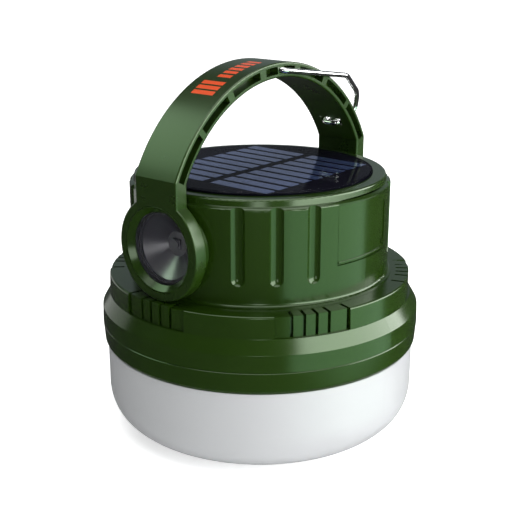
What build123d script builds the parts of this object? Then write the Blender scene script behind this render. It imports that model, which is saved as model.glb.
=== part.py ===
"""Solar camping lantern: frosted dome below, torch in the handle pivot, solar panel on top.

Millimetres, +Z up. The origin is the centre of the flat bottom of the dome. The torch faces -Y,
the charging ports and their flap are on +X and the power button is on -X.
"""

import math
import os

from build123d import *

os.makedirs("parts", exist_ok=True)

# ---- overall sizes -----------------------------------------------------------------------
body_radius = 60.0  # flange above the dome, the widest circle
dome_radius = 58.5
housing_radius = 48.2  # upper housing wall
panel_radius = 41.5
handle_width = 19.2
handle_thickness = 5.3
handle_edge = 0.6
handle_height = 137.9  # crown of the handle above the table
kink_height = 104.0  # where the straight legs of the handle meet its arc
pivot_height = 79.5

# ---- heights above the table -------------------------------------------------------------
trim_bottom = 34.3
parting_height = 42.4  # joint between trim ring and lower housing
flange_top = 48.7
vent_bottom = 53.4
deck_height = 61.2
shoulder_height = 95.1
rim_height = 98.3
panel_top = 99.6

# ---- walls and clearances ----------------------------------------------------------------
dome_wall = 2.4
housing_wall = 2.6
deck_thickness = 2.2
gap = 0.15  # between fixed neighbours
running_gap = 0.1  # radial, between a pivot and its bearing
screw_gap = 0.2  # clearance hole over a screw
thread_gap = 0.05  # pilot hole over a screw


def profile(plane, *corners):
    """Closed outline on a plane; a corner's third value is the radius that rounds it."""
    with BuildSketch(plane) as outline:
        with BuildLine():
            FilletPolyline(
                *[corner[:2] for corner in corners],
                radius=[corner[2] if len(corner) > 2 else 0 for corner in corners],
                close=True,
            )
        make_face()
    return outline.sketch


def around(radius, angle):
    """Point on a circle about the lantern's axis, from the torch (-Y) towards the ports (+X)."""
    turn = math.radians(angle)
    return (radius * math.sin(turn), -radius * math.cos(turn))


def facing(side, distance):
    """Plane across the handle's pivot axis; side -1 is the torch, +1 the opposite pivot."""
    origin = (0, side * distance, pivot_height)
    return Plane(origin=origin, x_dir=(-side, 0, 0), z_dir=(0, side, 0))


def lathe_plane(side):
    """Plane through the pivot axis: x runs out along the axis and y is the radius."""
    return Plane(origin=(0, 0, pivot_height), x_dir=(0, side, 0), z_dir=(side, 0, 0))


pivot_axis = Axis((0, 0, pivot_height), (0, 1, 0))

# ---- frosted dome ------------------------------------------------------------------------
dome_flat = 34.5  # radius of the flat that stands on the table
dome_corner_height = 17.6
dome_pull = 0.65  # how square the corner curve is
trim_bore = dome_radius - 0.9
neck_radius = trim_bore - gap
lip_radius = 58.4
lip_bottom = 36.4
dome_top = 38.0
dome_bore = dome_radius - dome_wall
inner_corner = dome_corner_height - dome_wall

with BuildPart() as diffuser_dome:
    with BuildSketch(Plane.XZ):
        with BuildLine():
            Line((0, 0), (dome_flat, 0))
            Bezier(
                (dome_flat, 0),
                (dome_flat + dome_pull * (dome_radius - dome_flat), 0),
                (dome_radius, dome_corner_height * (1 - dome_pull)),
                (dome_radius, dome_corner_height),
            )
            Polyline(
                (dome_radius, dome_corner_height),
                (dome_radius, trim_bottom - gap),
                (neck_radius, trim_bottom - gap),
                (neck_radius, lip_bottom),
                (lip_radius, lip_bottom),
                (lip_radius, dome_top),
                (dome_bore, dome_top),
                (dome_bore, dome_corner_height),
            )
            Bezier(
                (dome_bore, dome_corner_height),
                (dome_bore, dome_wall + inner_corner * (1 - dome_pull)),
                (dome_flat + dome_pull * (dome_bore - dome_flat), dome_wall),
                (dome_flat, dome_wall),
            )
            Polyline((dome_flat, dome_wall), (0, dome_wall), (0, 0))
        make_face()
    revolve(axis=Axis.Z)

# ---- seal between dome and housing -------------------------------------------------------
seal_thickness = 1.2
spigot_bottom = dome_top + seal_thickness

with BuildPart() as dome_seal:
    with BuildSketch(Plane.XY.offset(dome_top)):
        Circle(lip_radius - gap)
        Circle(dome_bore + gap, mode=Mode.SUBTRACT)
    extrude(amount=seal_thickness)

# ---- trim ring that clamps the dome, snapped over the housing's spigot -------------------
spigot_radius = lip_radius
socket_radius = spigot_radius + gap
bead_height = 40.9
bead_size = 0.25
bead_half = 0.5
edge_break = 0.25  # shallow V along the parting line
trim_foot = dome_radius + 0.1

with BuildPart() as trim_ring:
    revolve(
        profile(
            Plane.XZ,
            (trim_bore, trim_bottom),
            (trim_foot, trim_bottom, 0.3),
            (body_radius - 0.5, trim_bottom + 1.4, 0.8),
            (body_radius, parting_height - edge_break),
            (body_radius - edge_break, parting_height),
            (socket_radius, parting_height),
            (socket_radius, bead_height + bead_half),
            (socket_radius + bead_size, bead_height),
            (socket_radius, bead_height - bead_half),
            (socket_radius, lip_bottom - gap),
            (trim_bore, lip_bottom - gap),
        ),
        axis=Axis.Z,
    )

# ---- places of the four long screws and of the vents -------------------------------------
housing_bore = housing_radius - housing_wall
deck_bore = housing_radius - 2.6
spigot_wall = 2.2
post_circle = deck_bore - 5.0
post_radius = 3.4
post_angles = (44, 136, 224, 316)
post_places = [around(post_circle, angle) for angle in post_angles]
screw_radius = 1.5
chassis_bottom = 49.6
chassis_top = 52.0
ear_bottom = 57.0
ear_top = 59.2
ear_radius = 4.4
foot_radius = 3.6

vent_radius = body_radius - 3.0
vent_recess = vent_radius - 0.8
vent_lines = ((13.2, -1), (44.7, 1), (135.3, -1), (166.8, 1), (253.2, -1), (286.8, 1))
vent_slots = (6.0, 10.5, 15.0, 19.6, 27.2)  # angles from the line that starts each group
slot_width = 1.15
slot_floor = vent_radius - 2.3
slot_depth = 1.0
slot_inner = housing_radius + 3.2
ledge_drop = 0.1
ledge_count = 3
ledge_pitch = 1.5

# ---- lower housing -----------------------------------------------------------------------
rib_radius = deck_bore + 2.2
skirt_bore = lip_radius - 2.2
with BuildPart() as lower_housing:
    revolve(
        profile(
            Plane.XZ,
            (spigot_radius, spigot_bottom),
            (spigot_radius, bead_height - bead_half),
            (spigot_radius + bead_size, bead_height),
            (spigot_radius, bead_height + bead_half),
            (spigot_radius, parting_height),
            (body_radius - edge_break, parting_height),
            (body_radius, parting_height + edge_break),
            (body_radius - 0.2, flange_top, 0.4),
            (vent_radius, vent_bottom, 0.3),
            (vent_radius - 0.3, deck_height, 0.8),
            (deck_bore, deck_height),
            (deck_bore, ear_bottom),
            (rib_radius, ear_bottom),
            (rib_radius, deck_height - deck_thickness),
            (vent_radius - 3.8, deck_height - deck_thickness),
            (vent_radius - 3.4, vent_bottom - 0.8),
            (skirt_bore, flange_top - 1.2),
            (skirt_bore, spigot_bottom),
        ),
        axis=Axis.Z,
    )
    # each vent group is set back from the wall
    with BuildSketch(Plane.XY.offset(vent_bottom)):
        for line, way in vent_lines:
            with BuildLine():
                Polyline(
                    (0, 0),
                    around(body_radius * 1.2, line),
                    around(body_radius * 1.2, line + way * vent_slots[-1]),
                    close=True,
                )
            make_face()
        Circle(vent_recess, mode=Mode.SUBTRACT)
    extrude(amount=deck_height, mode=Mode.SUBTRACT)
    # shallow concentric ledges between the line and the first slot
    for step in range(ledge_count):
        drop = ledge_drop * (step + 1)
        with BuildSketch(Plane.XY.offset(deck_height - drop)):
            for line, way in vent_lines:
                with BuildLine():
                    Polyline(
                        (0, 0),
                        around(body_radius * 1.2, line),
                        around(body_radius * 1.2, line + way * vent_slots[0]),
                        close=True,
                    )
                make_face()
            Circle(slot_inner + ledge_pitch * step, mode=Mode.SUBTRACT)
        extrude(amount=2 * drop, mode=Mode.SUBTRACT)
    # slots down the wall and in across the deck
    for inner, floor in ((slot_floor, vent_bottom + 0.2), (slot_inner, deck_height - slot_depth)):
        length = body_radius - inner
        with BuildSketch(Plane.XY.offset(floor)):
            for line, way in vent_lines:
                for slot in vent_slots:
                    angle = line + way * slot
                    centre = around(inner + length / 2, angle)
                    with Locations(Location((*centre, 0), (0, 0, angle - 90))):
                        Rectangle(length, slot_width)
        extrude(amount=deck_height, mode=Mode.SUBTRACT)
    # four ears with legs, clamped between the upper housing's posts and the chassis
    with BuildSketch(Plane.XY.offset(ear_bottom)):
        for angle in post_angles:
            with Locations(Location((*around(post_circle, angle), 0), (0, 0, angle))):
                Circle(ear_radius)
            with Locations(Location((*around(post_circle + 3, angle), 0), (0, 0, angle))):
                Rectangle(2 * ear_radius, 6)
    extrude(amount=ear_top - ear_bottom)
    with BuildSketch(Plane.XY.offset(chassis_top)):
        with Locations(*post_places):
            Circle(foot_radius)
    extrude(amount=ear_bottom - chassis_top)
    with BuildSketch(Plane.XY.offset(chassis_top)):
        with Locations(*post_places):
            Circle(screw_radius + screw_gap)
    extrude(amount=ear_top - chassis_top, mode=Mode.SUBTRACT)

# ---- sizes shared by the pivots, the handle and the housing ------------------------------
boss_face = housing_radius + 0.1
boss_radius = 15.9
barrel_radius = 14.2
pad_radius = 16.9
pad_inner = housing_bore - 4.3
washer_thickness = 0.3
washer_gap = 0.1
handle_inner = boss_face + washer_thickness + washer_gap
handle_outer = handle_inner + handle_thickness
eye_radius = 18.1
bezel_thickness = 2.2
bezel_radius = 15.05
bezel_back = handle_outer - bezel_thickness
barrel_flange = 17.0
flange_thickness = 2.0
barrel_screw_circle = 15.6
barrel_screw_radius = 0.8
barrel_screw_length = 3.2
barrel_screw_angles = (-90, 30, 150)
barrel_screw_places = [
    (barrel_screw_circle * math.cos(math.radians(turn)), barrel_screw_circle * math.sin(math.radians(turn)))
    for turn in barrel_screw_angles
]

# ---- sizes shared by the port flap and the housing ---------------------------------------
flap_half_width = 13.9
flap_side_gap = 0.1
flap_bottom = 73.7
flap_wall = 1.35
skin_inner = housing_radius - flap_wall
flap_hinge_x = housing_radius - 3.8
flap_hinge_z = shoulder_height - 4.1
flap_reach = 5.5  # from the hinge to the middle of the flap's top edge
flap_end_reach = 4.55  # the same at its two ends, where the wall curves away
flap_barrel = 1.4
flap_opening = 4.6  # depth behind the hinge that the flap's top edge swings into
port_floor = housing_radius - 4.8
port_pad_inner = housing_radius - 9.7
flap_pin_radius = 0.6
flap_pin_half = flap_half_width + 1.4

board_bottom = 77.0
board_thickness = 1.6
board_top = board_bottom + board_thickness
usb_a_centre, usb_a_width, usb_a_height, usb_a_length = -5.6, 13.1, 5.7, 14.0
usb_c_centre, usb_c_width, usb_c_height, usb_c_length = 8.6, 9.0, 3.2, 7.4
socket_gap = 0.25

# ---- sizes shared by the power button and the housing ------------------------------------
button_height = 82.1
button_radius = 5.4
button_travel = 1.0
button_flange = 6.6
button_flange_thickness = 1.3
button_gap = 0.1
button_step = housing_radius - 2.3  # wall step that keeps the button's flange in
button_collar = 8.0
button_proud = 1.5

# ---- upper housing -----------------------------------------------------------------------
shelf_inner = housing_radius - 1.5
shelf_height = shoulder_height + 0.7
rim_radius = housing_radius - 1.95
panel_seat = rim_height - 1.7
ceiling = panel_seat - deck_thickness
cable_hole = 4.0
flute_angles = [
    front + side * angle for front in (0, 180) for side in (-1, 1) for angle in (31.2, 46.6, 62.0)
]
flute_radius = 3.0
flute_centre = housing_radius + 1.75
flute_bottom = 71.05

flap_space = flap_half_width + flap_side_gap

# room behind the wall for the top edge of the opening flap
with BuildPart() as swing_room:
    with BuildSketch(Plane.YZ.offset(flap_hinge_x).shift_origin((flap_hinge_x, 0, flap_hinge_z))):
        with BuildLine():
            Line((-flap_space, 0), (-flap_space, flap_end_reach + 0.1))
            ThreePointArc(
                (-flap_space, flap_end_reach + 0.1),
                (0, flap_reach + 0.1),
                (flap_space, flap_end_reach + 0.1),
            )
            Line((flap_space, flap_end_reach + 0.1), (flap_space, 0))
            Line((flap_space, 0), (-flap_space, 0))
        make_face()
    revolve(axis=Axis((flap_hinge_x, 0, flap_hinge_z), (0, 1, 0)))
    with Locations((flap_hinge_x - flap_opening, 0, flap_hinge_z)):
        Box(
            10 * flap_reach,
            4 * flap_space,
            4 * flap_reach,
            align=(Align.MIN, Align.CENTER, Align.MIN),
            mode=Mode.INTERSECT,
        )

# the flap's own thickness of wall, up to the foot of the rim
with BuildPart() as skin_room:
    with BuildSketch(Plane.YZ.offset(skin_inner - 3.0)):
        with Locations((0, flap_bottom - gap)):
            Rectangle(
                2 * flap_space, shelf_height - flap_bottom + gap, align=(Align.CENTER, Align.MIN)
            )
    extrude(amount=6.0)
    Cylinder(skin_inner - gap, 3 * rim_height, mode=Mode.SUBTRACT)

with BuildPart() as upper_housing:
    revolve(
        profile(
            Plane.XZ,
            (deck_bore - gap - spigot_wall, ear_top + gap),
            (deck_bore - gap, ear_top + gap),
            (deck_bore - gap, deck_height),
            (housing_radius + 1.3, deck_height),
            (housing_radius + 1.3, deck_height + 0.4),
            (housing_radius, deck_height + 0.4, 1.2),
            (housing_radius, shoulder_height, 0.7),
            (shelf_inner, shelf_height, 0.2),
            (rim_radius, rim_height, 0.8),
            (panel_radius + gap, rim_height),
            (panel_radius + gap, panel_seat),
            (cable_hole, panel_seat),
            (cable_hole, ceiling),
            (housing_bore, ceiling),
            (housing_bore, deck_height + 4.0),
            (deck_bore - gap - spigot_wall, deck_height + 1.6),
        ),
        axis=Axis.Z,
    )
    # screw posts from the ceiling down to the ears
    with BuildSketch(Plane.XY.offset(ear_top)):
        with Locations(*post_places):
            Circle(post_radius)
    extrude(amount=ceiling - ear_top)
    with BuildSketch(Plane.XY.offset(ear_top)):
        with Locations(*post_places):
            Circle(screw_radius + thread_gap)
    extrude(amount=10.0, mode=Mode.SUBTRACT)
    # bosses behind the handle's eyes, with a flat pad inside for the barrel's flange
    for side in (-1, 1):
        with BuildSketch(facing(side, pad_inner)):
            Circle(boss_radius)
        extrude(amount=boss_face - pad_inner)
        with BuildSketch(facing(side, pad_inner)):
            Circle(pad_radius)
        extrude(amount=3.0)
        with BuildSketch(facing(side, pad_inner - 1)):
            Circle(barrel_radius + running_gap)
        extrude(amount=boss_face, mode=Mode.SUBTRACT)
        with BuildSketch(facing(side, pad_inner)):
            with Locations(*barrel_screw_places):
                Circle(barrel_screw_radius + thread_gap)
        extrude(amount=barrel_screw_length - flange_thickness + 0.6, mode=Mode.SUBTRACT)
        # spot face that keeps the wall's foot clear of the handle's eye
        with BuildSketch(facing(side, boss_face)):
            Circle(eye_radius + 0.4)
        extrude(amount=handle_thickness, mode=Mode.SUBTRACT)
    # flutes, open through the shoulder and round at the bottom
    for angle in flute_angles:
        with Locations((*around(flute_centre, angle), flute_bottom)):
            Sphere(flute_radius, mode=Mode.SUBTRACT)
            Cylinder(
                flute_radius,
                rim_height,
                align=(Align.CENTER, Align.CENTER, Align.MIN),
                mode=Mode.SUBTRACT,
            )
    # thick pad behind the port flap
    with BuildSketch(Plane.XY.offset(flap_bottom - 3.6)):
        with Locations(((port_pad_inner + housing_radius) / 2, 0)):
            Rectangle(housing_radius - port_pad_inner, 2 * flap_half_width + 5.0)
        Circle(housing_radius - 1.2, mode=Mode.INTERSECT)
    extrude(amount=ceiling + 0.2 - (flap_bottom - 3.6))
    # recess for the flap, with room for its top edge to swing in
    add(swing_room.part, mode=Mode.SUBTRACT)
    with BuildSketch(Plane.XZ):
        with Locations((flap_hinge_x, flap_hinge_z)):
            Circle(flap_barrel + 0.3)
        with Locations((port_floor, flap_bottom - gap)):
            Rectangle(10, flap_hinge_z - flap_bottom + gap, align=(Align.MIN, Align.MIN))
    extrude(amount=flap_space, both=True, mode=Mode.SUBTRACT)
    add(skin_room.part, mode=Mode.SUBTRACT)
    with BuildSketch(Plane.XZ):
        with Locations((flap_hinge_x, flap_hinge_z)):
            Circle(flap_pin_radius + thread_gap)
    extrude(amount=flap_pin_half + gap, both=True, mode=Mode.SUBTRACT)
    # windows for the two sockets
    with BuildSketch(Plane.YZ.offset(port_pad_inner - 1)):
        with Locations((usb_a_centre, board_top + usb_a_height / 2)):
            Rectangle(usb_a_width + 2 * socket_gap, usb_a_height + 2 * socket_gap)
        with Locations((usb_c_centre, board_top + usb_c_height / 2)):
            Rectangle(usb_c_width + 2 * socket_gap, usb_c_height + 2 * socket_gap)
    extrude(amount=8.0, mode=Mode.SUBTRACT)
    # collar, thick wall and stepped hole for the power button
    with BuildSketch(Plane.YZ.offset(-button_step - 0.4)):
        with Locations((0, button_height)):
            Rectangle(2 * button_flange + 5, 2 * button_flange + 5)
    extrude(amount=3.0)
    with BuildSketch(Plane.YZ.offset(-housing_radius - 0.7)):
        with Locations((0, button_height)):
            Circle(button_collar)
    extrude(amount=3.0)
    with BuildSketch(Plane.YZ.offset(-body_radius)):
        with Locations((0, button_height)):
            Circle(button_radius + button_gap)
    extrude(amount=body_radius - button_step + 5, mode=Mode.SUBTRACT)
    with BuildSketch(Plane.YZ.offset(-button_step)):
        with Locations((0, button_height)):
            Circle(button_flange + 2 * button_gap)
    extrude(amount=5.0, mode=Mode.SUBTRACT)

# ---- solar panel -------------------------------------------------------------------------
cell_height = 0.1
glass_thickness = 0.8
panel_border = 0.7
strip_count = 9
strip_pitch = 6.75
strip_width = 4.8
strip_length = 25.3
column_offset = 14.65
glass_bottom = panel_top - glass_thickness
cell_bed = glass_bottom - cell_height - 0.05
strip_places = [
    (side * column_offset, (row - (strip_count - 1) / 2) * strip_pitch)
    for side in (-1, 1)
    for row in range(strip_count)
]

with BuildPart() as panel_board:
    with BuildSketch(Plane.XY.offset(panel_seat)):
        Circle(panel_radius)
    extrude(amount=glass_bottom - panel_seat)
    with BuildSketch(Plane.XY.offset(cell_bed)):
        Circle(panel_radius - panel_border)
    extrude(amount=glass_bottom, mode=Mode.SUBTRACT)

with BuildPart() as solar_cells:
    with BuildSketch(Plane.XY.offset(cell_bed)):
        with Locations(*strip_places):
            Rectangle(strip_length, strip_width)
    extrude(amount=cell_height)

with BuildPart() as panel_glass:
    with BuildSketch(Plane.XY.offset(glass_bottom)):
        Circle(panel_radius)
    extrude(amount=glass_thickness)
    chamfer(panel_glass.edges().group_by(Axis.Z)[-1], 0.3)

# ---- chassis plate and lantern light -----------------------------------------------------
chassis_radius = vent_radius - 4.0
led_board_radius = 34.0
led_board_thickness = 1.4
led_rings = ((12.0, 8), (20.0, 12), (28.0, 16))
led_length, led_breadth, led_height = 3.5, 2.8, 0.8

with BuildPart() as chassis_plate:
    with BuildSketch(Plane.XY.offset(chassis_bottom)):
        Circle(chassis_radius)
        Circle(cable_hole, mode=Mode.SUBTRACT)
        with Locations(*post_places):
            Circle(screw_radius + screw_gap, mode=Mode.SUBTRACT)
    extrude(amount=chassis_top - chassis_bottom)

with BuildPart() as led_board:
    with BuildSketch(Plane.XY.offset(chassis_bottom)):
        Circle(led_board_radius)
        Circle(cable_hole, mode=Mode.SUBTRACT)
    extrude(amount=-led_board_thickness)

with BuildPart() as led_chips:
    with BuildSketch(Plane.XY.offset(chassis_bottom - led_board_thickness)):
        for ring, count in led_rings:
            with PolarLocations(ring, count):
                Rectangle(led_length, led_breadth)
    extrude(amount=-led_height)

screw_head = 2.8
screw_length = ear_top + 8.0 - chassis_bottom
with BuildPart() as housing_screws:
    with BuildSketch(Plane.XY.offset(chassis_bottom)):
        with Locations(*post_places):
            Circle(screw_radius)
    extrude(amount=screw_length)
    with BuildSketch(Plane.XY.offset(chassis_bottom)):
        with Locations(*post_places):
            Circle(screw_head)
    extrude(amount=-1.8)
    with BuildSketch(Plane.XY.offset(chassis_bottom - 1.8)):
        with Locations(*post_places):
            Rectangle(3.6, 0.7)
            Rectangle(0.7, 3.6)
    extrude(amount=1.0, mode=Mode.SUBTRACT)

# ---- battery pack ------------------------------------------------------------------------
cell_radius = 9.2
battery_length = 65.2
nub_length = 1.0
nub_radius = 2.8
spring_length = 4.5
contact_thickness = 0.4
contact_side = 12.0
end_wall = 1.8
tray_thickness = 1.5
cell_spread = cell_radius + 0.4
pack_half = (battery_length + spring_length) / 2 + contact_thickness
tray_half_width = cell_spread + cell_radius + 1.4
cell_axis = chassis_top + tray_thickness + cell_radius + 0.1
post_x, post_y = 22.0, tray_half_width + 1.6
board_post = 2.4
board_screw = 1.0

with BuildPart() as battery_holder:
    with BuildSketch(Plane.XY.offset(chassis_top)):
        Rectangle(2 * (pack_half + end_wall), 2 * tray_half_width)
        Rectangle(2 * (post_x + board_post), 2 * (post_y + board_post))
        with Locations(*post_places):
            Circle(foot_radius + 0.6, mode=Mode.SUBTRACT)
    extrude(amount=tray_thickness)
    with BuildSketch(Plane.XY.offset(chassis_top)):
        for side in (-1, 1):
            with Locations((side * (pack_half + end_wall / 2), 0)):
                Rectangle(end_wall, 2 * tray_half_width)
    extrude(amount=tray_thickness + 1.7 * cell_radius)
    with BuildSketch(Plane.XY.offset(chassis_top)):
        for side in (-1, 1):
            with Locations((0, side * (tray_half_width - 0.5))):
                Rectangle(2 * pack_half, 1.0)
        Rectangle(2 * pack_half, 0.5)
    extrude(amount=tray_thickness + 0.5 * cell_radius)
    with BuildSketch(Plane.XY.offset(chassis_top)):
        with GridLocations(2 * post_x, 2 * post_y, 2, 2):
            Circle(board_post)
    extrude(amount=board_bottom - chassis_top)
    with BuildSketch(Plane.XY.offset(board_bottom)):
        with GridLocations(2 * post_x, 2 * post_y, 2, 2):
            Circle(board_screw + thread_gap)
    extrude(amount=-8.0, mode=Mode.SUBTRACT)
    with BuildSketch(Plane.XY.offset(chassis_top)):
        Circle(cable_hole)
    extrude(amount=tray_thickness + cell_radius, mode=Mode.SUBTRACT)

with BuildPart() as battery_cells:
    with BuildSketch(Plane.YZ.offset(pack_half - contact_thickness - nub_length)):
        with Locations((-cell_spread, cell_axis), (cell_spread, cell_axis)):
            Circle(cell_radius)
    extrude(amount=-(battery_length - nub_length))
    fillet(battery_cells.edges().filter_by(GeomType.CIRCLE), 0.8)
    with BuildSketch(Plane.YZ.offset(pack_half - contact_thickness)):
        with Locations((-cell_spread, cell_axis), (cell_spread, cell_axis)):
            Circle(nub_radius)
    extrude(amount=-nub_length - 0.2)

with BuildPart() as battery_contacts:
    for side in (-1, 1):
        with BuildSketch(Plane.YZ.offset(side * (pack_half - contact_thickness / 2))):
            with Locations((-cell_spread, cell_axis), (cell_spread, cell_axis)):
                Rectangle(contact_side, contact_side)
        extrude(amount=contact_thickness / 2, both=True)

spring_wire = 0.4
spring_coils = 4
spring_radius = 3.6
spring_span = spring_length - 2 * spring_wire - 0.1
spring_start = contact_thickness - pack_half + spring_wire + 0.05
with BuildPart() as contact_springs:
    for side in (-1, 1):
        with BuildLine():
            Helix(
                pitch=spring_span / spring_coils,
                height=spring_span,
                radius=spring_radius,
                center=(spring_start, side * cell_spread, cell_axis),
                direction=(1, 0, 0),
            )
        coil = contact_springs.pending_edges[-1]
        with BuildSketch(Plane(origin=coil @ 0, z_dir=coil % 0)):
            Circle(spring_wire)
        sweep(path=coil)

# ---- main board with its parts -----------------------------------------------------------
board_half_length = port_pad_inner - 0.7
board_half_width = 23.8

with BuildPart() as main_board:
    with BuildSketch(Plane.XY.offset(board_bottom)):
        Rectangle(2 * board_half_length, 2 * board_half_width)
        with GridLocations(2 * post_x, 2 * post_y, 2, 2):
            Circle(board_screw + screw_gap, mode=Mode.SUBTRACT)
    extrude(amount=board_thickness)
    chamfer(main_board.edges().filter_by(Axis.Z).group_by(SortBy.DISTANCE)[-1], 4.0)

with BuildPart() as board_screws:
    with BuildSketch(Plane.XY.offset(board_top)):
        with GridLocations(2 * post_x, 2 * post_y, 2, 2):
            Circle(board_screw)
    extrude(amount=-7.0)
    with BuildSketch(Plane.XY.offset(board_top)):
        with GridLocations(2 * post_x, 2 * post_y, 2, 2):
            Circle(1.9)
    extrude(amount=1.2)

chips = (
    (-18, 8, 7, 7, 1.2),
    (-4, 14, 5, 4, 1.0),
    (-22, -8, 6, 6, 3.4),
    (-6, -12, 8, 5, 1.5),
    (8, 12, 4, 4, 1.0),
    (8, -8, 5, 5, 3.0),
    (20, 12, 4, 6, 1.0),
)
with BuildPart() as board_chips:
    for x, y, length, width, height in chips:
        with BuildSketch(Plane.XY.offset(board_top)):
            with Locations((x, y)):
                Rectangle(length, width)
        extrude(amount=height)

with BuildPart() as usb_a_socket:
    with BuildSketch(Plane.YZ.offset(port_floor)):
        with Locations((usb_a_centre, board_top + usb_a_height / 2)):
            Rectangle(usb_a_width, usb_a_height)
    extrude(amount=-usb_a_length)
    with BuildSketch(Plane.YZ.offset(port_floor)):
        with Locations((usb_a_centre, board_top + usb_a_height / 2)):
            Rectangle(usb_a_width - 0.6, usb_a_height - 0.6)
    extrude(amount=1.0 - usb_a_length, mode=Mode.SUBTRACT)
    with BuildSketch(Plane.YZ.offset(port_floor - 0.6)):
        with Locations((usb_a_centre, board_top + usb_a_height - 1.6)):
            Rectangle(usb_a_width - 2.6, 1.4)
    extrude(amount=1.0 - usb_a_length)

with BuildPart() as usb_c_socket:
    with BuildSketch(Plane.YZ.offset(port_floor)):
        with Locations((usb_c_centre, board_top + usb_c_height / 2)):
            SlotOverall(usb_c_width, usb_c_height)
    extrude(amount=-usb_c_length)
    with BuildSketch(Plane.YZ.offset(port_floor)):
        with Locations((usb_c_centre, board_top + usb_c_height / 2)):
            SlotOverall(usb_c_width - 0.6, usb_c_height - 0.6)
    extrude(amount=0.8 - usb_c_length, mode=Mode.SUBTRACT)
    with BuildSketch(Plane.YZ.offset(port_floor - 0.6)):
        with Locations((usb_c_centre, board_top + usb_c_height / 2)):
            Rectangle(usb_c_width - 2.4, 0.7)
    extrude(amount=0.8 - usb_c_length)

# ---- power button and its switch ---------------------------------------------------------
flange_face = button_step - button_gap
flange_back = flange_face - button_flange_thickness
stem_radius = 2.2
plunger_radius = 1.7
switch_front = board_half_length + 1.2
plunger_end = switch_front - 1.1
stem_end = switch_front + 2.4
button_face = housing_radius + button_proud

with BuildPart() as power_button:
    with BuildSketch(Plane.YZ.offset(-button_face)):
        with Locations((0, button_height)):
            Circle(button_radius)
    extrude(amount=button_face - flange_back)
    fillet(power_button.edges().group_by(Axis.X)[0], 0.8)
    with BuildSketch(Plane.YZ.offset(-flange_face)):
        with Locations((0, button_height)):
            Circle(button_flange)
    extrude(amount=button_flange_thickness)
    with BuildSketch(Plane.YZ.offset(-flange_back)):
        with Locations((0, button_height)):
            Circle(stem_radius)
    extrude(amount=flange_back - stem_end)

with BuildPart() as switch_plunger:
    with BuildSketch(Plane.YZ.offset(-stem_end)):
        with Locations((0, button_height)):
            Circle(plunger_radius)
    extrude(amount=stem_end - plunger_end)

with BuildPart() as switch_body:
    with BuildSketch(Plane.XY.offset(board_top)):
        with Locations((-switch_front, 0)):
            Rectangle(6.0, 6.2, align=(Align.MIN, Align.CENTER))
    extrude(amount=2 * (button_height - board_top))
    with BuildSketch(Plane.YZ.offset(-switch_front)):
        with Locations((0, button_height)):
            Circle(plunger_radius + running_gap)
    extrude(amount=switch_front - plunger_end + button_travel + 0.3, mode=Mode.SUBTRACT)

# ---- port flap ---------------------------------------------------------------------------
lip = 0.35  # raised line along the bottom and right edges
with BuildPart() as port_flap:
    revolve(
        profile(
            Plane.XZ,
            (skin_inner, flap_bottom),
            (housing_radius, flap_bottom, 0.3),
            (housing_radius, flap_bottom + 0.5),
            (housing_radius + lip, flap_bottom + 0.6, 0.08),
            (housing_radius + lip, flap_bottom + 1.3, 0.08),
            (housing_radius, flap_bottom + 1.4),
            (housing_radius, shoulder_height - 0.45),
            (housing_radius - 0.2, shoulder_height - 0.4),
            (housing_radius - 0.2, shoulder_height - 0.2),
            (housing_radius - 0.15, shoulder_height + 0.07),
            (skin_inner, shelf_height - 0.07),
        ),
        axis=Axis.Z,
    )
    with BuildSketch(Plane.YZ):
        with Locations((0, flap_bottom)):
            Rectangle(2 * flap_half_width, 30, align=(Align.CENTER, Align.MIN))
    extrude(amount=body_radius, mode=Mode.INTERSECT)
    with BuildSketch(Plane.XZ):
        with Locations((flap_hinge_x, flap_hinge_z)):
            Circle(flap_barrel)
            Rectangle(2.6, 2 * flap_barrel, align=(Align.MIN, Align.CENTER))
    extrude(amount=9.0, both=True)
    # raised line up the right edge, and slanting finger grips beside it
    for middle, height, length, tilt in (
        (12.6, flap_bottom + 9.2, 17.0, 0),
        (11.5, flap_bottom + 3.4, 2.0, 24),
        (10.5, flap_bottom + 3.4, 2.0, 24),
    ):
        turn = math.degrees(math.asin(middle / housing_radius))
        ridge_x = (housing_radius - 0.4) * math.cos(math.radians(turn))
        with Locations(Location((ridge_x, middle, height), (0, 0, turn))):
            with Locations(Location((0, 0, 0), (tilt, 0, 0))):
                Box(0.75, 0.45, length, align=(Align.MIN, Align.CENTER, Align.CENTER))
    with BuildSketch(Plane.XZ):
        with Locations((flap_hinge_x, flap_hinge_z)):
            Circle(flap_pin_radius + running_gap)
    extrude(amount=flap_half_width, both=True, mode=Mode.SUBTRACT)

with BuildPart() as flap_pin:
    with BuildSketch(Plane.XZ):
        with Locations((flap_hinge_x, flap_hinge_z)):
            Circle(flap_pin_radius)
    extrude(amount=flap_pin_half, both=True)

# ---- pivots: a torch in the front barrel, a plain cap on the rear one --------------------
tube_wall = 1.05
lens_bore = barrel_radius - tube_wall
lens_thickness = 1.4
barrel_end = bezel_back
lens_back = barrel_end - lens_thickness
core_bore = lens_bore - 0.75
flange_inner = pad_inner - flange_thickness
web_front = flange_inner + 3.7
web_thickness = 1.5
torch_board_thickness = 1.2
led_front = web_front + torch_board_thickness
led_half = 1.8

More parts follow.
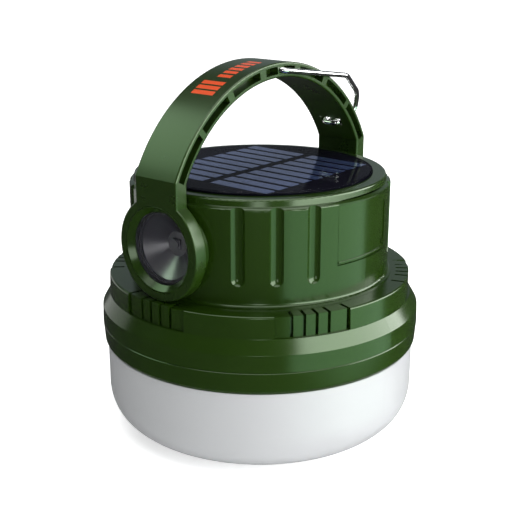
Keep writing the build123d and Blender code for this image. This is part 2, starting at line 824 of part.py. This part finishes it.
barrels = {}
for side, name in ((-1, "torch_barrel"), (1, "pivot_barrel")):
    with BuildPart() as barrel:
        revolve(
            profile(
                lathe_plane(side),
                (flange_inner, core_bore),
                (flange_inner, barrel_flange, 0.3),
                (pad_inner, barrel_flange),
                (pad_inner, barrel_radius),
                (barrel_end, barrel_radius),
                (barrel_end, lens_bore),
                (lens_back - 0.5, lens_bore),
                (lens_back - 0.5, core_bore),
                (web_front, core_bore),
                (web_front, 3.0),
                (web_front - web_thickness, 3.0),
                (web_front - web_thickness, core_bore),
            ),
            axis=pivot_axis,
        )
        with BuildSketch(facing(side, flange_inner)):
            with Locations(*barrel_screw_places):
                Circle(barrel_screw_radius + thread_gap)
        extrude(amount=flange_thickness, mode=Mode.SUBTRACT)
        # flat on the flange, below the housing's ceiling
        with BuildSketch(Plane.XY.offset(ceiling - gap)):
            Rectangle(4 * barrel_flange, 4 * body_radius)
        extrude(amount=barrel_flange, mode=Mode.SUBTRACT)
    barrels[name] = barrel

with BuildPart() as barrel_screws:
    for side in (-1, 1):
        with BuildSketch(facing(side, flange_inner)):
            with Locations(*barrel_screw_places):
                Circle(barrel_screw_radius)
        extrude(amount=barrel_screw_length)
        with BuildSketch(facing(side, flange_inner)):
            with Locations(*barrel_screw_places):
                Circle(1.3)
        extrude(amount=-0.9)

with BuildPart() as friction_washers:
    for side in (-1, 1):
        with BuildSketch(facing(side, boss_face)):
            Circle(boss_radius - 0.2)
            Circle(barrel_radius + 0.2, mode=Mode.SUBTRACT)
        extrude(amount=washer_thickness)

with BuildPart() as torch_board:
    with BuildSketch(facing(-1, web_front)):
        Circle(core_bore - gap)
    extrude(amount=torch_board_thickness)

with BuildPart() as torch_led:
    with BuildSketch(facing(-1, led_front)):
        Rectangle(2 * led_half, 2 * led_half)
    extrude(amount=0.7)
    with BuildSketch(facing(-1, led_front + 0.7)):
        Circle(1.4)
    extrude(amount=0.5)

cone_small = 4.4
reflector_radius = core_bore - gap
with BuildPart() as torch_reflector:
    revolve(
        profile(
            lathe_plane(-1),
            (led_front, cone_small),
            (lens_back - 0.6, reflector_radius - 0.9),
            (lens_back - 0.6, reflector_radius),
            (lens_back - 1.6, reflector_radius),
            (led_front, cone_small + 1.2),
        ),
        axis=pivot_axis,
    )

with BuildPart() as torch_seal:
    with BuildSketch(facing(-1, lens_back)):
        Circle(lens_bore - gap)
        Circle(core_bore - 0.2, mode=Mode.SUBTRACT)
    extrude(amount=-0.5)

with BuildPart() as torch_lens:
    with BuildSketch(facing(-1, lens_back)):
        Circle(lens_bore - gap)
    extrude(amount=lens_thickness)

bezel_opening = 12.8
with BuildPart() as torch_bezel:
    revolve(
        profile(
            lathe_plane(-1),
            (bezel_back, bezel_opening),
            (bezel_back, bezel_radius),
            (handle_outer, bezel_radius, 0.15),
            (handle_outer, bezel_radius - 0.5),
            (bezel_back + 0.3, bezel_opening),
        ),
        axis=pivot_axis,
    )

with BuildPart() as pivot_cap:
    revolve(
        profile(
            lathe_plane(1),
            (bezel_back, 0),
            (bezel_back, bezel_radius),
            (handle_outer, bezel_radius, 0.15),
            (handle_outer, bezel_radius - 0.7),
            (handle_outer - 0.8, bezel_radius - 1.5),
            (handle_outer - 0.8, 0),
        ),
        axis=pivot_axis,
    )

# ---- handle ------------------------------------------------------------------------------
arc_rise = handle_height - kink_height
arc_radius = (handle_outer**2 + arc_rise**2) / (2 * arc_rise)
arc_centre = handle_height - arc_radius
inner_radius = arc_radius - handle_thickness
inner_kink = arc_centre + math.sqrt(inner_radius**2 - handle_inner**2)
pocket_depth = 3.6
pocket_width = 2.7
pocket_spans = ((1.6, 8.0), (11.2, 26.0), (28.9, 44.2), (46.4, 63.6))
mid_radius = arc_radius - handle_thickness / 2
wire_radius = 1.0
hook_hole = wire_radius + running_gap
hook_height = handle_height - handle_thickness / 2
hook_arm = handle_width / 2 + wire_radius + 0.35
hook_end = 5.6  # half the distance between the wire's two ends
hook_foot = 3.4  # half the distance between the wire's two legs at the foot
knee_point = (53.5, 121.0)
bulge_point = (55.5, 113.3)
foot_point = (43.2, 109.6)
slot_half_width = 5.0
slot_clearance = wire_radius + 0.3
foot_length = math.dist(foot_point, bulge_point)
foot_run = (
    (bulge_point[0] - foot_point[0]) / foot_length,
    (bulge_point[1] - foot_point[1]) / foot_length,
)
foot_angle = math.degrees(math.atan2(hook_height - foot_point[1], foot_point[0]))
swing_radius = math.dist((0, hook_height), foot_point) - slot_clearance


def arc_point(radius, angle):
    """Point of the handle's arc in the YZ plane, at an angle from the crown towards +Y."""
    turn = math.radians(angle)
    return (radius * math.sin(turn), arc_centre + radius * math.cos(turn))


def swing_point(angle):
    """Point of the hook foot's swing in the YZ plane, at an angle below the +Y direction."""
    turn = math.radians(angle)
    return (swing_radius * math.cos(turn), hook_height - swing_radius * math.sin(turn))


with BuildPart() as handle:
    with BuildSketch(Plane.YZ):
        with BuildLine():
            Line((-handle_outer, pivot_height), (-handle_outer, kink_height))
            ThreePointArc(
                (-handle_outer, kink_height), (0, handle_height), (handle_outer, kink_height)
            )
            Line((handle_outer, kink_height), (handle_outer, pivot_height))
            Line((handle_outer, pivot_height), (handle_inner, pivot_height))
            Line((handle_inner, pivot_height), (handle_inner, inner_kink))
            ThreePointArc(
                (handle_inner, inner_kink),
                (0, handle_height - handle_thickness),
                (-handle_inner, inner_kink),
            )
            Line((-handle_inner, inner_kink), (-handle_inner, pivot_height))
            Line((-handle_inner, pivot_height), (-handle_outer, pivot_height))
        make_face()
    extrude(amount=handle_width / 2, both=True)
    for side in (-1, 1):
        revolve(
            profile(
                lathe_plane(side),
                (handle_inner, 0),
                (handle_inner, eye_radius),
                (handle_outer, eye_radius),
                (handle_outer, 0),
            ),
            axis=pivot_axis,
        )
    eye_edges = (
        handle.edges()
        .filter_by(GeomType.CIRCLE)
        .filter_by(lambda edge: math.isclose(edge.radius, eye_radius, abs_tol=0.01))
    )
    outline = handle.faces().filter_by(Axis.X).edges() + eye_edges
    fillet([edge for edge in outline if edge.bounding_box().size.Z > 0.01], handle_edge)
    for side in (-1, 1):
        with BuildSketch(facing(side, handle_inner - 1)):
            Circle(barrel_radius + running_gap)
        extrude(amount=handle_thickness + 2, mode=Mode.SUBTRACT)
        with BuildSketch(facing(side, bezel_back - washer_gap)):
            Circle(bezel_radius + running_gap)
        extrude(amount=handle_thickness, mode=Mode.SUBTRACT)
    # long pockets that lighten the arc, from both sides
    for side in (-1, 1):
        with BuildSketch(Plane.YZ.offset(side * (handle_width / 2 - pocket_depth / 2))):
            for half in (-1, 1):
                for start, stop in pocket_spans:
                    with BuildLine():
                        inner_arc = ThreePointArc(
                            *[
                                arc_point(mid_radius - pocket_width / 2, half * angle)
                                for angle in (start, (start + stop) / 2, stop)
                            ]
                        )
                        outer_arc = ThreePointArc(
                            *[
                                arc_point(mid_radius + pocket_width / 2, half * angle)
                                for angle in (start, (start + stop) / 2, stop)
                            ]
                        )
                        Line(inner_arc @ 0, outer_arc @ 0)
                        Line(inner_arc @ 1, outer_arc @ 1)
                    make_face()
        extrude(amount=pocket_depth / 2 + 0.001, both=True, mode=Mode.SUBTRACT)
    # sockets for the ends of the wire hook
    for side in (-1, 1):
        with BuildSketch(Plane.YZ.offset(side * (hook_end - 0.4))):
            with Locations((0, hook_height)):
                Circle(hook_hole)
        extrude(amount=side * handle_width, mode=Mode.SUBTRACT)
    # slot that the hook's foot folds into: below it clears the wire at rest, above its swing
    with BuildSketch(Plane.YZ):
        with BuildLine():
            below = (
                foot_point[0] + slot_clearance * foot_run[1],
                foot_point[1] - slot_clearance * foot_run[0],
            )
            start = (below[0] - 4 * foot_run[0], below[1] - 4 * foot_run[1])
            stop = (below[0] + 12 * foot_run[0], below[1] + 12 * foot_run[1])
            Line(start, stop)
            swing_in = swing_point(foot_angle + 3)
            swing_out = swing_point(foot_angle - 10)
            ThreePointArc(swing_in, swing_point(foot_angle - 3.5), swing_out)
            Line(start, swing_in)
            Line(stop, swing_out)
        make_face()
    extrude(amount=slot_half_width, both=True, mode=Mode.SUBTRACT)

# ---- wire hook ---------------------------------------------------------------------------
wire_half = (
    (hook_end, 0, hook_height),
    (hook_arm, 0, hook_height),
    (hook_arm, 38.6, hook_height - 5.6),
    (hook_foot + 2.6, *knee_point),
    (hook_foot, *bulge_point),
    (hook_foot, *foot_point),
)
wire_bends = (1.8, 8.0, 9.0, 3.0, 2.2)
with BuildPart() as hook:
    with BuildLine():
        wire = FilletPolyline(
            *wire_half,
            *[(-x, y, z) for x, y, z in reversed(wire_half)],
            radius=[*wire_bends, *reversed(wire_bends)],
        )
    with BuildSketch(Plane(origin=wire @ 0, z_dir=wire % 0)):
        Circle(wire_radius)
    sweep()

# ---- one STEP file for each piece --------------------------------------------------------
pieces = {
    "diffuser_dome": diffuser_dome,
    "dome_seal": dome_seal,
    "trim_ring": trim_ring,
    "lower_housing": lower_housing,
    "upper_housing": upper_housing,
    "panel_board": panel_board,
    "solar_cells": solar_cells,
    "panel_glass": panel_glass,
    "chassis_plate": chassis_plate,
    "led_board": led_board,
    "led_chips": led_chips,
    "housing_screws": housing_screws,
    "battery_holder": battery_holder,
    "battery_cells": battery_cells,
    "battery_contacts": battery_contacts,
    "contact_springs": contact_springs,
    "main_board": main_board,
    "board_screws": board_screws,
    "board_chips": board_chips,
    "usb_a_socket": usb_a_socket,
    "usb_c_socket": usb_c_socket,
    "switch_body": switch_body,
    "switch_plunger": switch_plunger,
    "power_button": power_button,
    "port_flap": port_flap,
    "flap_pin": flap_pin,
    "torch_barrel": barrels["torch_barrel"],
    "pivot_barrel": barrels["pivot_barrel"],
    "barrel_screws": barrel_screws,
    "friction_washers": friction_washers,
    "torch_board": torch_board,
    "torch_led": torch_led,
    "torch_reflector": torch_reflector,
    "torch_seal": torch_seal,
    "torch_lens": torch_lens,
    "torch_bezel": torch_bezel,
    "pivot_cap": pivot_cap,
    "handle": handle,
    "hook": hook,
}
for name, piece in pieces.items():
    piece.part.label = name
    export_step(piece.part, f"parts/{name}.step")
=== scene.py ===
"""Looks of the solar camping lantern, in metres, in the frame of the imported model."""

import bpy
import numpy as np
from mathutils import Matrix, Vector

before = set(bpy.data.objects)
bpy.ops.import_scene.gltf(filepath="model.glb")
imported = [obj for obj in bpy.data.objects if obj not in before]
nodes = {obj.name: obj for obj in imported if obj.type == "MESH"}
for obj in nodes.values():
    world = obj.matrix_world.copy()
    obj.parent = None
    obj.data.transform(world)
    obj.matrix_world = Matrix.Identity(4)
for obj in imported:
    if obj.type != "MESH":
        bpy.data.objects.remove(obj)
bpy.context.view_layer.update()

# ---- camera ------------------------------------------------------------------------------
# A long lens looks down a little at the middle of the lantern, with the torch on its left
# and the charging ports on its right.
aim = Vector((0, 0, 0.0627))
camera_distance = 0.380
camera_azimuth = np.radians(39.97)
camera_rise = np.radians(17.91)
camera_data = bpy.data.cameras.new("camera")
camera_data.lens = 68.95
camera_data.sensor_width = 36.0
camera_data.clip_start = 0.01
camera = bpy.data.objects.new("camera", camera_data)
bpy.context.scene.collection.objects.link(camera)
back = Vector(
    (
        np.sin(camera_azimuth) * np.cos(camera_rise),
        -np.cos(camera_azimuth) * np.cos(camera_rise),
        np.sin(camera_rise),
    )
)
camera.location = aim + back * camera_distance
camera.rotation_euler = back.to_track_quat("Z", "Y").to_euler()
bpy.context.scene.camera = camera


# ---- studio: floor and lights ------------------------------------------------------------
# A white table in a dim room. Soft boxes round the lantern show as reflections, one lights it
# from the right, and a broad soft light comes from overhead.
class Wire:
    """One output of a node. Arithmetic on it adds Math nodes to the same tree."""

    def __init__(self, tree, socket):
        self.tree = tree
        self.socket = socket

    def math(self, operation, *values):
        node = self.tree.nodes.new("ShaderNodeMath")
        node.operation = operation
        for socket, value in zip(node.inputs, values):
            join(self.tree, socket, value)
        return Wire(self.tree, node.outputs[0])

    def __add__(self, other):
        return self.math("ADD", self, other)

    def __radd__(self, other):
        return self.math("ADD", other, self)

    def __sub__(self, other):
        return self.math("SUBTRACT", self, other)

    def __mul__(self, other):
        return self.math("MULTIPLY", self, other)

    def __abs__(self):
        return self.math("ABSOLUTE", self)

    def __gt__(self, other):
        return self.math("GREATER_THAN", self, other)

    def __lt__(self, other):
        return self.math("LESS_THAN", self, other)


def join(tree, socket, value):
    """Feeds a socket from a Wire, or sets it to a plain value."""
    if isinstance(value, Wire):
        tree.links.new(value.socket, socket)
    elif isinstance(value, (tuple, list)) and len(value) == 3 and socket.type == "RGBA":
        socket.default_value = (*value, 1.0)
    else:
        socket.default_value = value


class Finish:
    """A material with one Principled shader; node() adds any other node to it."""

    def __init__(self, name, **settings):
        self.material = bpy.data.materials.new(name)
        self.material.use_nodes = True
        self.tree = self.material.node_tree
        self.shader = self.tree.nodes["Principled BSDF"]
        self.set(**settings)

    def set(self, **settings):
        """Sockets of the Principled shader, with _ for the spaces in their names."""
        for name, value in settings.items():
            label = name.replace("_", " ")
            join(self.tree, self.shader.inputs[label], value)

    def node(self, kind, settings=None, sockets=None, output=0):
        node = self.tree.nodes.new("ShaderNode" + kind)
        for name, value in (settings or {}).items():
            setattr(node, name, value)
        for name, value in (sockets or {}).items():
            join(self.tree, node.inputs[name], value)
        return Wire(self.tree, node.outputs[output])

    def place(self):
        """Position on the piece, in metres."""
        return self.node("TexCoord", output="Object")

    def axes(self):
        """The three coordinates of a point on the piece, in metres."""
        split = self.tree.nodes.new("ShaderNodeSeparateXYZ")
        join(self.tree, split.inputs[0], self.place())
        return [Wire(self.tree, socket) for socket in split.outputs]

    def noise(self, scale, detail=2.0, roughness=0.5):
        """Soft cloudy value from 0 to 1, with scale spots to the metre."""
        return self.node(
            "TexNoise",
            sockets={"Vector": self.place(), "Scale": scale, "Detail": detail, "Roughness": roughness},
        )

    def blend(self, factor, first, second):
        """Colour that runs from first to second as factor goes from 0 to 1."""
        return self.node(
            "Mix",
            {"data_type": "RGBA"},
            {"Factor": factor, 6: first, 7: second},
            output=2,
        )

    def bump(self, height, depth):
        """Relief of that depth in metres where height goes from 0 to 1."""
        return self.node("Bump", sockets={"Height": height, "Strength": 1.0, "Distance": depth})

    def on(self, *names):
        """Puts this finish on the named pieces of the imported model."""
        for name in names:
            for place in nodes[name].material_slots:
                place.link = "OBJECT"
                place.material = self.material


def softbox(name, azimuth, distance, low, high, width, radiance, shows_as, colour=(1, 1, 1)):
    """A rectangular lamp that stands upright round the lantern and faces its axis. Its light
    falls evenly over its face, so its power is radiance x pi x area. It shows as
    a reflection ("gloss") or only lights what it shines on ("fill")."""
    lamp = bpy.data.lights.new(name, "AREA")
    lamp.shape = "RECTANGLE"
    lamp.size, lamp.size_y = width, high - low
    lamp.energy = radiance * np.pi * width * (high - low)
    lamp.color = colour
    holder = bpy.data.objects.new(name, lamp)
    side = np.radians(azimuth)
    holder.location = (distance * np.sin(side), -distance * np.cos(side), (low + high) / 2)
    holder.rotation_euler = (np.pi / 2, 0, side)
    holder.visible_camera = False
    holder.visible_diffuse = shows_as == "fill"
    holder.visible_glossy = shows_as == "gloss"
    bpy.context.scene.collection.objects.link(holder)


floor_mesh = bpy.data.meshes.new("floor")
floor_half = 6.0
floor_mesh.from_pydata(
    [(x * floor_half, y * floor_half, -0.0002) for x, y in ((-1, -1), (1, -1), (1, 1), (-1, 1))],
    [],
    [(0, 1, 2, 3)],
)
floor = bpy.data.objects.new("floor", floor_mesh)
bpy.context.scene.collection.objects.link(floor)
floor.visible_glossy = False
table_white = Finish("table_white", Roughness=0.9, Emission_Strength=0.50)
table_white.set(
    Base_Color=table_white.blend(table_white.noise(3.0), (0.90, 0.90, 0.90), (0.93, 0.93, 0.93)),
    Emission_Color=(1.0, 1.0, 1.0, 1.0),
)
floor_mesh.materials.append(table_white.material)

world = bpy.data.worlds.new("studio")
bpy.context.scene.world = world
world.use_nodes = True
world.node_tree.nodes["Background"].inputs["Color"].default_value = (1.0, 1.0, 1.0, 1.0)
world.node_tree.nodes["Background"].inputs["Strength"].default_value = 0.05
softbox("right_low_box", 100, 0.60, -0.30, 0.09, 1.00, 1.8, "gloss", (0.62, 1.0, 0.72))
softbox("right_high_box", 112, 0.60, 0.11, 0.66, 1.20, 8.0, "gloss")
softbox("front_box", 39, 0.60, 0.03, 0.26, 0.11, 5.0, "gloss")
softbox("left_box", -84, 0.60, -0.10, 0.22, 0.42, 0.8, "gloss")
softbox("high_left_box", -66, 0.60, 0.38, 0.85, 0.55, 3.0, "gloss", (0.72, 1.0, 0.70))
softbox("rear_box", -140, 0.80, 0.06, 0.60, 1.10, 0.25, "gloss", (0.78, 0.90, 1.0))
softbox("right_fill", 100, 0.60, 0.00, 0.45, 0.90, 7.0, "fill")
overhead = bpy.data.lights.new("overhead", "SUN")
overhead.energy = 3.0
overhead.angle = np.radians(70)
overhead_holder = bpy.data.objects.new("overhead", overhead)
bpy.context.scene.collection.objects.link(overhead_holder)
bpy.context.scene.view_settings.view_transform = "Standard"

# ---- frosted dome and its seal -----------------------------------------------------------
# The diffuser is one opal polycarbonate shell, blown smooth, that also stands on the table.
# A soft black ring seals its rim against the housing.
opal = Finish("opal_plastic", Roughness=0.32, Subsurface_Weight=0.0)
opal_cloud = opal.noise(35.0, 3.0)
opal.set(
    Base_Color=opal.blend(opal_cloud, (0.350, 0.358, 0.366), (0.375, 0.383, 0.391)),
    Roughness=0.3 + opal_cloud * 0.06,
    Normal=opal.bump(opal.noise(1400.0, 1.0), 0.000004),
)
opal.on("diffuser_dome")
seal_rubber = Finish("seal_rubber", Roughness=0.8)
seal_rubber.set(
    Base_Color=seal_rubber.blend(seal_rubber.noise(900.0), (0.02, 0.02, 0.02), (0.04, 0.04, 0.04))
)
seal_rubber.on("dome_seal", "torch_seal", "friction_washers")

# ---- green housing, trim ring, barrels, button and flap ----------------------------------
# Injection-moulded ABS in one deep green, with a fine satin grain from the mould. The trim
# ring snaps over the lower housing; the upper housing is screwed down on it from inside.
deep_green = (0.0074, 0.0200, 0.0011)
pale_green = (0.0098, 0.0255, 0.0016)


def moulded(name, dark, light, rough, grain):
    """Satin moulded plastic: cloudy between two near shades, rougher where it is paler,
    with a grain of that depth in metres."""
    finish = Finish(name, Roughness=rough, Specular_Tint=(0.80, 1.0, 0.74, 1.0))
    cloud = finish.noise(60.0, 4.0)
    finish.set(
        Base_Color=finish.blend(cloud, dark, light),
        Roughness=(rough - 0.03) + cloud * 0.06,
        Normal=finish.bump(finish.noise(2200.0, 2.0), grain),
    )
    return finish


green_plastic = moulded("green_plastic", deep_green, pale_green, 0.20, 0.000003)
green_plastic.on(
    "trim_ring", "lower_housing", "upper_housing", "torch_bezel", "pivot_cap", "power_button", "port_flap"
)
black_plastic = moulded("black_plastic", (0.01, 0.01, 0.011), (0.018, 0.018, 0.02), 0.45, 0.000006)
black_plastic.on(
    "torch_barrel", "pivot_barrel", "chassis_plate", "battery_holder", "switch_body", "switch_plunger"
)

# ---- solar panel -------------------------------------------------------------------------
# A round black board with two columns of polycrystalline strips under a clear resin skin.
board_black = Finish("panel_board_black", Roughness=0.5, Specular_IOR_Level=0.0)
board_black.set(
    Base_Color=board_black.blend(
        board_black.noise(700.0, 3.0), (0.0015, 0.0015, 0.003), (0.004, 0.004, 0.007)
    )
)
board_black.on("panel_board")
silicon = Finish("silicon", Metallic=0.7, Roughness=0.35)
crystal = silicon.node(
    "TexVoronoi", {"feature": "F1"}, {"Vector": silicon.place(), "Scale": 900.0}, output="Color"
)
crystal_shade = silicon.node("RGBToBW", sockets={"Color": crystal})
silicon.set(
    Base_Color=silicon.blend(crystal_shade, (0.055, 0.090, 0.25), (0.15, 0.21, 0.46)),
    Roughness=0.05 + crystal_shade * 0.06,
)
silicon.on("solar_cells")
resin = Finish("clear_resin", Alpha=0.10, Roughness=0.03, Specular_IOR_Level=0.35)
resin.set(
    Base_Color=resin.blend(resin.noise(80.0), (0.01, 0.01, 0.02), (0.02, 0.02, 0.03)),
)
resin.on("panel_glass")

# ---- lantern light and electronics inside ------------------------------------------------
# White aluminium-core board with yellow chips, green main board, two blue cells and zinc
# screws. They show only when the dome or housing is taken off.
white_board = moulded("white_board", (0.75, 0.75, 0.73), (0.82, 0.82, 0.80), 0.5, 0.000003)
white_board.on("led_board")
phosphor = moulded("phosphor", (0.75, 0.55, 0.10), (0.85, 0.65, 0.16), 0.5, 0.000003)
phosphor.on("led_chips")
green_board = moulded("green_board", (0.005, 0.05, 0.015), (0.01, 0.08, 0.025), 0.35, 0.000004)
green_board.on("main_board")
chip_black = moulded("chip_black", (0.012, 0.012, 0.012), (0.02, 0.02, 0.02), 0.5, 0.000004)
chip_black.on("board_chips")
sleeve = moulded("cell_sleeve", (0.01, 0.05, 0.16), (0.015, 0.07, 0.20), 0.3, 0.000003)
sleeve.on("battery_cells")


def polished(name, dark, light, rough, scratch):
    """Bare metal: brightness and gloss drift a little, with fine scratches of that depth."""
    finish = Finish(name, Metallic=1.0, Roughness=rough)
    cloud = finish.noise(150.0, 3.0)
    finish.set(
        Base_Color=finish.blend(cloud, dark, light),
        Roughness=rough * 0.8 + cloud * (rough * 0.5),
        Normal=finish.bump(finish.noise(5000.0, 2.0), scratch),
    )
    return finish


zinc = polished("zinc_steel", (0.45, 0.45, 0.46), (0.58, 0.58, 0.58), 0.35, 0.000002)
zinc.on("housing_screws", "board_screws", "barrel_screws", "flap_pin", "usb_a_socket", "usb_c_socket")
nickel = polished("nickel", (0.50, 0.48, 0.43), (0.62, 0.60, 0.54), 0.3, 0.000002)
nickel.on("battery_contacts", "contact_springs")

# ---- torch -------------------------------------------------------------------------------
# A clear lens in front of a metallised cone with one LED behind, glued into the pivot barrel.
dark_mirror = polished("metallised_cone", (0.30, 0.30, 0.31), (0.34, 0.34, 0.35), 0.30, 0.00000004)
dark_mirror.on("torch_reflector")
torch_phosphor = moulded("torch_phosphor", (0.07, 0.07, 0.075), (0.10, 0.10, 0.10), 0.30, 0.000002)
torch_phosphor.on("torch_led", "torch_board")
lens_clear = Finish("lens_clear", Alpha=0.12, Roughness=0.04, Specular_IOR_Level=0.4)
lens_clear.set(
    Base_Color=lens_clear.blend(lens_clear.noise(120.0), (0.05, 0.05, 0.07), (0.07, 0.07, 0.09))
)
lens_clear.on("torch_lens")

# ---- handle ------------------------------------------------------------------------------
# One green moulding, turned in the housing on the two barrels. A row of plain orange bars is
# printed on its outer face, left of the crown.
print_orange = (0.70, 0.075, 0.018)
handle_reach = 0.0540  # from the axis to the outside of a leg
handle_top = 0.1379
leg_top = 0.1040  # where a leg meets the arc
arc_rise = handle_top - leg_top
arc_radius = (handle_reach**2 + arc_rise**2) / (2 * arc_rise)
arc_centre_z = handle_top - arc_radius
print_depth = 0.00056  # how far in from the outer face the print still shows
print_radius = arc_radius - print_depth
handle_paint = moulded("handle_plastic", deep_green, pale_green, 0.28, 0.000003)
side_x, along_y, up_z = handle_paint.axes()
rise = up_z - arc_centre_z
turn = handle_paint.node("Math", {"operation": "ARCTAN2"}, {0: along_y, 1: rise}) * float(180 / np.pi)
outer = (along_y * along_y + rise * rise) > print_radius**2


def bar(first, last, half_width, shift=0.0):
    """1 inside a bar across the strap, between two angles from the crown."""
    return (turn > first) * (turn < last) * (abs(side_x - shift) < half_width)


wide_span = 2.0  # degrees
wide_half_width = 0.0050
dash_span = 1.9
dash_half_width = 0.0030
dash_shift = 0.0012
bars = bar(-31.0, -31.0 + wide_span, wide_half_width)
for first in (-28.2, -25.4):
    bars = bars + bar(first, first + wide_span, wide_half_width)
for first in (-20.5, -17.5, -14.5, -11.5, -8.5, -5.5):
    bars = bars + bar(first, first + dash_span, dash_half_width, dash_shift)
handle_colour = handle_paint.blend(handle_paint.noise(60.0, 4.0), deep_green, pale_green)
handle_paint.set(Base_Color=handle_paint.blend(bars * outer, handle_colour, print_orange))
handle_paint.on("handle")

# ---- wire hook ---------------------------------------------------------------------------
# Bright nickel-plated spring wire, bent into a narrow U and sprung into the handle's crown.
bright_wire = polished("bright_wire", (0.62, 0.62, 0.63), (0.78, 0.78, 0.78), 0.12, 0.000002)
bright_wire.on("hook")
